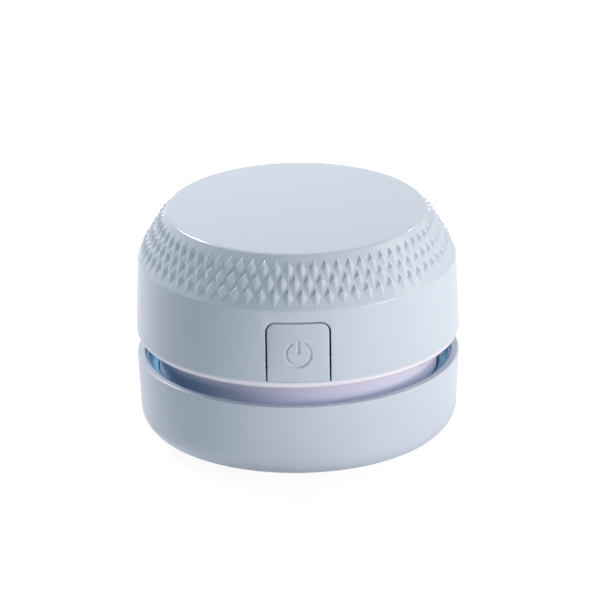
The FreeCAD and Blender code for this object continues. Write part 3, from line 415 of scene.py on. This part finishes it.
def shell_shape():
    upper = knurl_rows()[0] - KNURL_TIP - KNURL_GROUND
    lower = knurl_rows()[-1] + KNURL_TIP + KNURL_GROUND
    rows = [on_cone(down) + (0,) for down in [upper] + knurl_rows() + [lower]]
    roof = TOP_Z - WALL
    outline = [(0, TOP_Z, 0), (DISC_RADIUS, TOP_Z, TOP_ROUND)] + rows + [
        (SHOULDER_RADIUS, SHOULDER_Z, SHOULDER_ROUND), (wall_radius(SKIRT_Z), SKIRT_Z, SKIRT_ROUND),
        (BODY_RADIUS - WALL, SKIRT_Z, 0), (SHOULDER_RADIUS - WALL, SHOULDER_Z - INNER_DROP, 0),
        (DISC_RADIUS - WALL / math.tan(CONE_ANGLE), roof, 0), (0, roof, 0)]
    return turned(knurl_raised(revolved(outline, 2 * KNURL_COUNT)), KNURL_TURN_DEG)


def soften_slot(bm):
    """Rounds the edges that meet the wall's face along the sides and the top of the button's slot."""
    reach = BUTTON_WIDTH / 2 + BUTTON_SLOT + 0.1
    sharp = math.radians(SLOT_EDGE_DEG)
    edges = []
    for edge in bm.edges:
        middle = (edge.verts[0].co + edge.verts[1].co) / 2
        in_front = middle.y < 0 and abs(middle.x) < reach and BUTTON_Z + 0.5 < middle.z < SHOULDER_Z - 1
        at_face = math.hypot(middle.x, middle.y) > wall_radius(middle.z) - 0.3
        if in_front and at_face and len(edge.link_faces) == 2 and edge.calc_face_angle() > sharp:
            edges.append(edge)
    bmesh.ops.bevel(bm, geom=edges, offset=SLOT_SOFTEN, offset_type="OFFSET", segments=2, profile=0.5,
                    affect="EDGES", material=-1)


def shell():
    outside, inside = BODY_RADIUS + CUT_OUTSIDE, BODY_RADIUS - WALL - CUT_INSIDE
    slot = upright_plate(BUTTON_WIDTH + 2 * BUTTON_SLOT, BUTTON_HEIGHT + BUTTON_SLOT + BUTTON_SLOT_BELOW,
                         BUTTON_CORNER + BUTTON_SLOT, BUTTON_Z - BUTTON_SLOT_BELOW, -outside, -inside, True)
    port_low, port_high = size_of("port_shell")
    width = port_high.x - port_low.x + 2 * PORT_MARGIN
    height = port_high.z - port_low.z + 2 * PORT_MARGIN
    port = upright_plate(width, height, height * PORT_ROUND, port_low.z - PORT_MARGIN, inside, outside, False)
    bm = combined(shell_shape(), [slot, port], "DIFFERENCE")
    soften_slot(bm)
    return placed("outer_shell", bm, "motor_unit", shell_satin, ["top_shell"], sharp_deg=26)


# ---------------------------------------------------------------- motor unit: button
def power_sign():
    """Cutters for the sunk power sign: an open ring and a bar, both narrower towards their floor."""
    face_y = -wall_radius(SIGN_Z) + BUTTON_SINK
    half = SIGN_STROKE / 2
    floor = half * SIGN_FLOOR
    mouth = half + (half - floor) / SIGN_DEPTH * SIGN_PROUD
    ring = bmesh.new()
    section = [(mouth, -SIGN_PROUD), (floor, SIGN_DEPTH), (-floor, SIGN_DEPTH), (-mouth, -SIGN_PROUD)]
    corners = [ring.verts.new((SIGN_RADIUS + dx, face_y + dy, SIGN_Z)) for dx, dy in section]
    for k, corner in enumerate(corners):
        ring.edges.new((corner, corners[(k + 1) % 4]))
    centre = (0, face_y, SIGN_Z)
    bmesh.ops.rotate(ring, verts=ring.verts, cent=centre,
                     matrix=Matrix.Rotation(math.radians(-90 + SIGN_GAP_DEG), 3, "Y"))
    bmesh.ops.spin(ring, geom=ring.verts[:] + ring.edges[:], cent=centre, axis=(0, 1, 0),
                   angle=math.radians(360 - 2 * SIGN_GAP_DEG), steps=48)
    bmesh.ops.holes_fill(ring, edges=ring.edges, sides=4)
    bmesh.ops.recalc_face_normals(ring, faces=ring.faces)
    bar = box(-mouth, mouth, face_y - SIGN_PROUD, face_y + SIGN_DEPTH,
              SIGN_BAR_TOP - SIGN_BAR_LENGTH - mouth + half, SIGN_BAR_TOP + mouth - half)
    for corner in bar.verts:
        if corner.co.y > face_y:
            corner.co.x *= floor / mouth
            corner.co.z += math.copysign(mouth - floor, SIGN_BAR_TOP - SIGN_BAR_LENGTH / 2 - corner.co.z)
    return [ring, bar]


def button():
    def skin(depth):
        return [(wall_radius(SKIRT_Z) - depth, SKIRT_Z, 0), (wall_radius(SHOULDER_Z) - depth, SHOULDER_Z, 0)]
    plate = revolved(skin(BUTTON_SINK) + skin(BUTTON_SINK + BUTTON_WALL)[::-1], 4 * KNURL_COUNT)
    outline = upright_plate(BUTTON_WIDTH, BUTTON_HEIGHT, BUTTON_CORNER, BUTTON_Z,
                            -BODY_RADIUS - CUT_OUTSIDE, -BODY_RADIUS / 2, True)
    bm = combined(plate, [outline], "INTERSECT")
    soften_slot(bm)
    bm = combined(bm, power_sign(), "DIFFERENCE")
    pin_low, pin_high = size_of("hinge_pin")
    hinge_y = (pin_low.y + pin_high.y) / 2
    hinge_z = (pin_low.z + pin_high.z) / 2
    half = BUTTON_WIDTH / 2 - BARREL_END_GAP
    along_x = Matrix.Translation((0, hinge_y, hinge_z)) @ Matrix.Rotation(math.pi / 2, 4, "Y")
    wall_y = -wall_radius(hinge_z) + BUTTON_WALL / 2
    plunger_low, plunger_high = size_of("tact_plunger")
    plunger_z = (plunger_low.z + plunger_high.z) / 2
    tip = plunger_low.y - POST_TIP_GAP
    post = Matrix.Translation((0, (wall_y + tip) / 2, plunger_z)) @ Matrix.Rotation(math.pi / 2, 4, "X")
    barrel = rod(BARREL_RADIUS, 2 * half, along_x)
    web = box(-half, half, wall_y, hinge_y, hinge_z - WEB_HEIGHT / 2, hinge_z + WEB_HEIGHT / 2)
    works = [barrel, web, rod(POST_RADIUS, tip - wall_y, post)]
    return placed("power_button", joined(bm, works), "button", shell_satin, ["button_flap"])


# ---------------------------------------------------------------- dust cup
CUP_RIM_RADIUS = BODY_RADIUS - 0.1
CUP_FOOT_RADIUS = CUP_RIM_RADIUS - 0.7
CUP_BORE = CUP_RIM_RADIUS - 2.1
CUP_LOWER_BORE = CUP_BORE - 0.9
CUP_FLOOR_Z = CUP_Z + 2.0
CUP_ROUND = 7.0
CUP_ROUND_INSIDE = 4.9
CUP_RIM_ROUND = 0.35
CUP_STEPS = 160           # faces round the cup
COLLAR_SEAT = 2.48        # from the collar's underside up to the step it rests on
INLET_RADIUS = 11.0
INLET_WALL = 1.4
INLET_TOP_Z = CUP_FLOOR_Z + 4.5
GROOVE_WIDTH = 4.0        # of the brush ring's groove
RIB_RADIUS = 35.2         # inner ends of the ribs that carry the filter
GUIDE_RADIUS = 37.2       # inner ends of the guides beside the filter's lugs
GUIDE_TURN_DEG = 6.6      # from a lug's middle to its guides
RIB_THICKNESS = 1.6
RIB_SINK = 0.5            # how deep ribs and guides reach into wall and floor
RIB_DROP = 1.25           # how far the ribs' tops lie below the seal
INLET_ROUNDS = (0.4, 0.8, 0.5)    # of the inlet's mouth, foot and top


def upright_rib(inner_radius, top_z, turn_deg):
    half = RIB_THICKNESS / 2
    rib = box(inner_radius, CUP_LOWER_BORE + RIB_SINK, -half, half, CUP_FLOOR_Z - RIB_SINK, top_z)
    return turned(rib, turn_deg)


def cup():
    collar_z = size_of("locking_collar")[0].z + COLLAR_SEAT
    groove = size_of("brush_carrier")[1]
    groove_inner = groove.x - GROOVE_WIDTH
    inlet_outer = INLET_RADIUS + INLET_WALL
    mouth_round, foot_round, top_round = INLET_ROUNDS
    outline = [(INLET_RADIUS, CUP_Z, mouth_round),
               (groove_inner, CUP_Z, 0), (groove_inner, groove.z, 0),
               (groove.x, groove.z, 0), (groove.x, CUP_Z, 0),
               (CUP_FOOT_RADIUS, CUP_Z, CUP_ROUND), (CUP_FOOT_RADIUS, CUP_Z + CUP_ROUND + 0.5, 0),
               (CUP_RIM_RADIUS, RIM_Z, CUP_RIM_ROUND), (CUP_BORE, RIM_Z, CUP_RIM_ROUND),
               (CUP_BORE, collar_z, 0), (CUP_LOWER_BORE, collar_z, 0),
               (CUP_LOWER_BORE, CUP_FLOOR_Z, CUP_ROUND_INSIDE), (inlet_outer, CUP_FLOOR_Z, foot_round),
               (inlet_outer, INLET_TOP_Z, top_round), (INLET_RADIUS, INLET_TOP_Z, top_round)]
    seal_z = size_of("seal_ring")[0].z
    ribs = [upright_rib(RIB_RADIUS, seal_z - RIB_DROP, 30 + 60 * k) for k in range(6)]
    for lug in (90, 210, 330):
        for side in (-1, 1):
            ribs.append(upright_rib(GUIDE_RADIUS, seal_z, lug + side * GUIDE_TURN_DEG))
    inner = CUP_FOOT_RADIUS - 1
    within_wall = revolved([(0, CUP_Z + 1, 0), (inner, CUP_Z + 1, CUP_ROUND - 1), (inner, RIM_Z - 1, 0),
                            (0, RIM_Z - 1, 0)], 96)
    ribs = combined(joined(bmesh.new(), ribs), [within_wall], "INTERSECT")
    bm = joined(revolved(outline, CUP_STEPS), [ribs])
    return placed("cup_body", bm, "cup", cup_satin, ["dust_cup"])


# ---------------------------------------------------------------- brush
TUFTS = 30
STRANDS = 10              # bristles in a tuft
TUFT_CIRCLE = 17.2        # radius of the circle through the tufts
TUFT_REACHES = (0.3, 0.62)    # of the inner and the outer bristles from the tuft's middle
BRISTLE_LEAN = 0.16       # radians for each mm away from the tuft's middle
BRISTLE_TIP = 0.09        # radii
BRISTLE_ROOT = 0.13
BRISTLE_SIDES = 5
BRISTLE_OFF_TABLE = 0.05
BRISTLE_IN_RING = 0.35


def bristles():
    """Tufts of fine bristles in the ring's holes; they end just above the table."""
    low, high = size_of("brush_tufts")
    tip_z, root_z = low.z + BRISTLE_OFF_TABLE, high.z + BRISTLE_IN_RING
    middle_z = (tip_z + root_z) / 2
    bm = bmesh.new()
    for k in range(TUFTS):
        around = 2 * math.pi * k / TUFTS
        place = Matrix.Rotation(around, 4, "Z") @ Matrix.Translation((TUFT_CIRCLE, 0, 0))
        for strand in range(STRANDS):
            spread = 2 * math.pi * strand / STRANDS
            reach = TUFT_REACHES[strand % 2]
            axis = Vector((-math.sin(spread), math.cos(spread), 0))
            lean = Matrix.Rotation(BRISTLE_LEAN * reach, 4, axis)
            at = Matrix.Translation((reach * math.cos(spread), reach * math.sin(spread), middle_z))
            bmesh.ops.create_cone(bm, cap_ends=True, segments=BRISTLE_SIDES, radius1=BRISTLE_TIP,
                                  radius2=BRISTLE_ROOT, depth=root_z - tip_z, matrix=place @ at @ lean)
    return placed("bristle_ring", bm, "cup", bristle_nylon, ["brush_tufts"], sharp_deg=60)


# ---------------------------------------------------------------- all pieces
def dress_node(node, material):
    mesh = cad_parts[node].data
    mesh.materials.clear()
    mesh.materials.append(material)


shell()
button()
cup()
bristles()
refined("chassis", "motor_unit", neck_satin, edge=0.15)
refined("locking_collar", "cup", collar_blue, edge=0.2)
refined("inlet_guard", "cup", collar_blue, edge=0.25)
refined("brush_carrier", "cup", brush_grey, edge=0.15)
refined("filter_frame", "filter", inner_white, edge=0.2)
refined("fan_shroud", "motor_unit", inner_white, edge=0.15)
refined("port_shell", "motor_unit", plated_steel, edge=0.05)
for number in range(1, 5):
    refined("glide_pad_%d" % number, "cup", soft_black, edge=0.25)

plain = {
    "filter_pad": filter_fleece, "seal_ring": soft_black,
    "impeller": inner_white, "rotor_shaft": plated_steel,
    "motor_can": plated_steel, "motor_end_cap": inner_white,
    "motor_terminal_1": warm_brass, "motor_terminal_2": warm_brass,
    "motor_screw_1": plated_steel, "motor_screw_2": plated_steel,
    "battery_cell": foil_wrap, "battery_tape": foam_black,
    "circuit_board": board_green, "port_tongue": black_moulded,
    # Painted shade: the hinge pin's dark steel makes the button's side slots read as deep shade.
    "tact_switch": black_moulded, "tact_plunger": brush_grey, "hinge_pin": pin_steel_painted_shade,
}
for number in range(1, 5):
    plain["deck_screw_%d" % number] = plated_steel
    plain["board_screw_%d" % number] = plated_steel
for node, material in plain.items():
    dress_node(node, material)


# ---------------------------------------------------------------- studio
AIM = mm(0, 0, 34.0)
CAMERA_AWAY = 2500 * MM
CAMERA_RISE = math.radians(21.4)
CAMERA_ROLL = math.radians(-0.78)
PICTURE = 600
FOCAL_PIXELS = 9480
AIM_PIXEL = (297.71, 310.4)   # where the aimed-at point is seen
SENSOR_WIDTH = 36
LAMP_AWAY = 700               # from the origin, like the lamps' sizes in mm
COOL = (0.975, 0.95, 0.945)
PLAIN = (1.01, 0.95, 0.9)
WARM = (1.11, 0.95, 0.79)
FLOOR_HALF = 6000             # half of the floor's side in mm
FLOOR_COLOUR = (0.9, 0.9, 0.9, 1)
FLOOR_GLOW = 1.1
FLOOR_GLOW_SEEN = 0.85        # share of the glow in the floor that the camera sees
FLOOR_GLOW_MIRRORED = 0.4     # and in the floor that shiny surfaces mirror
SKY_COLOUR = (0.05, 0.56, 1.0, 1)
SKY_STRENGTH = 0.115


def studio_camera():
    camera = bpy.data.objects.new("studio_camera", bpy.data.cameras.new("studio_camera"))
    bpy.context.scene.collection.objects.link(camera)
    back = Vector((0, -math.cos(CAMERA_RISE), math.sin(CAMERA_RISE)))
    level = Vector((1, 0, 0))
    raised = Vector((0, math.sin(CAMERA_RISE), math.cos(CAMERA_RISE)))
    right = level * math.cos(CAMERA_ROLL) + raised * math.sin(CAMERA_ROLL)
    up = raised * math.cos(CAMERA_ROLL) - level * math.sin(CAMERA_ROLL)
    turn = Matrix((right, up, back)).transposed().to_4x4()
    camera.matrix_world = Matrix.Translation(AIM + back * CAMERA_AWAY) @ turn
    camera.data.sensor_width = SENSOR_WIDTH
    camera.data.lens = FOCAL_PIXELS / PICTURE * SENSOR_WIDTH
    camera.data.shift_x = (PICTURE / 2 - AIM_PIXEL[0]) / PICTURE
    camera.data.shift_y = (AIM_PIXEL[1] - PICTURE / 2) / PICTURE
    camera.data.clip_start = 0.05
    camera.data.clip_end = 20
    bpy.context.scene.camera = camera


def softbox(name, turn_deg, rise_deg, width, height, power, colour, mirrored=True):
    """Flat lamp that looks at the object; turn_deg is 0 in front and grows to the right.

    A lamp that isn't mirrored lights the object without its own image in the glossy shell.
    """
    lamp = bpy.data.lights.new(name, "AREA")
    lamp.shape = "RECTANGLE"
    lamp.size = width * MM
    lamp.size_y = height * MM
    lamp.energy = power
    lamp.color = colour
    piece = bpy.data.objects.new(name, lamp)
    bpy.context.scene.collection.objects.link(piece)
    turn, rise = math.radians(turn_deg), math.radians(rise_deg)
    way = Vector((math.cos(rise) * math.sin(turn), -math.cos(rise) * math.cos(turn), math.sin(rise)))
    piece.location = way * LAMP_AWAY * MM
    piece.rotation_euler = (AIM - piece.location).to_track_quat("-Z", "Y").to_euler()
    piece.visible_glossy = mirrored


def pale_floor():
    """Floor that takes the object's shadow but shows bright to the camera."""
    bm = bmesh.new()
    bmesh.ops.create_grid(bm, x_segments=1, y_segments=1, size=FLOOR_HALF)
    bmesh.ops.transform(bm, matrix=SEEN, verts=bm.verts)
    floor = loose("studio_floor", bm)
    material = bpy.data.materials.new("floor_white")
    material.use_nodes = True
    nodes = material.node_tree.nodes
    links = material.node_tree.links
    nodes.clear()
    out = nodes.new("ShaderNodeOutputMaterial")
    lit = nodes.new("ShaderNodeBsdfDiffuse")
    lit.inputs["Color"].default_value = FLOOR_COLOUR
    white = nodes.new("ShaderNodeEmission")
    white.inputs["Strength"].default_value = FLOOR_GLOW
    path = nodes.new("ShaderNodeLightPath")
    mirrored = nodes.new("ShaderNodeMath")
    mirrored.operation = "MULTIPLY"
    mirrored.inputs[1].default_value = FLOOR_GLOW_MIRRORED
    links.new(path.outputs["Is Glossy Ray"], mirrored.inputs[0])
    share = nodes.new("ShaderNodeMath")
    share.operation = "MULTIPLY_ADD"
    share.inputs[1].default_value = FLOOR_GLOW_SEEN
    links.new(path.outputs["Is Camera Ray"], share.inputs[0])
    links.new(mirrored.outputs[0], share.inputs[2])
    mix = nodes.new("ShaderNodeMixShader")
    links.new(share.outputs[0], mix.inputs["Fac"])
    links.new(lit.outputs[0], mix.inputs[1])
    links.new(white.outputs[0], mix.inputs[2])
    links.new(mix.outputs[0], out.inputs["Surface"])
    floor.data.materials.append(material)


def studio_world():
    """Dim sky for dull surfaces; white where it is seen, mirrored or seen through."""
    world = bpy.data.worlds.new("studio_world")
    bpy.context.scene.world = world
    world.use_nodes = True
    nodes = world.node_tree.nodes
    links = world.node_tree.links
    nodes.clear()
    out = nodes.new("ShaderNodeOutputWorld")
    soft = nodes.new("ShaderNodeBackground")
    soft.inputs["Color"].default_value = SKY_COLOUR
    soft.inputs["Strength"].default_value = SKY_STRENGTH
    white = nodes.new("ShaderNodeBackground")
    white.inputs["Color"].default_value = (1, 1, 1, 1)
    white.inputs["Strength"].default_value = 1.0
    path = nodes.new("ShaderNodeLightPath")
    seen = nodes.new("ShaderNodeMath")
    seen.operation = "MAXIMUM"
    seen_or_passed = nodes.new("ShaderNodeMath")
    seen_or_passed.operation = "MAXIMUM"
    mix = nodes.new("ShaderNodeMixShader")
    links.new(path.outputs["Is Camera Ray"], seen.inputs[0])
    links.new(path.outputs["Is Glossy Ray"], seen.inputs[1])
    links.new(seen.outputs[0], seen_or_passed.inputs[0])
    links.new(path.outputs["Is Transmission Ray"], seen_or_passed.inputs[1])
    links.new(seen_or_passed.outputs[0], mix.inputs["Fac"])
    links.new(soft.outputs[0], mix.inputs[1])
    links.new(white.outputs[0], mix.inputs[2])
    links.new(mix.outputs[0], out.inputs["Surface"])


pale_floor()
studio_world()
softbox("back_left", -130, 45, 200, 200, 4.05, COOL)
softbox("back_right", 122, 32, 90, 90, 0.5, PLAIN, mirrored=False)
softbox("edge_right", 130, 34, 70, 70, 0.6, PLAIN)
softbox("fill_front", 35, 25, 350, 350, 1.76, COOL, mirrored=False)
softbox("side_right", 90, 30, 300, 300, 0.5, WARM)
softbox("low_right", 60, 6, 300, 150, 1.5, PLAIN)
studio_camera()
bpy.context.scene.view_settings.view_transform = "Standard"
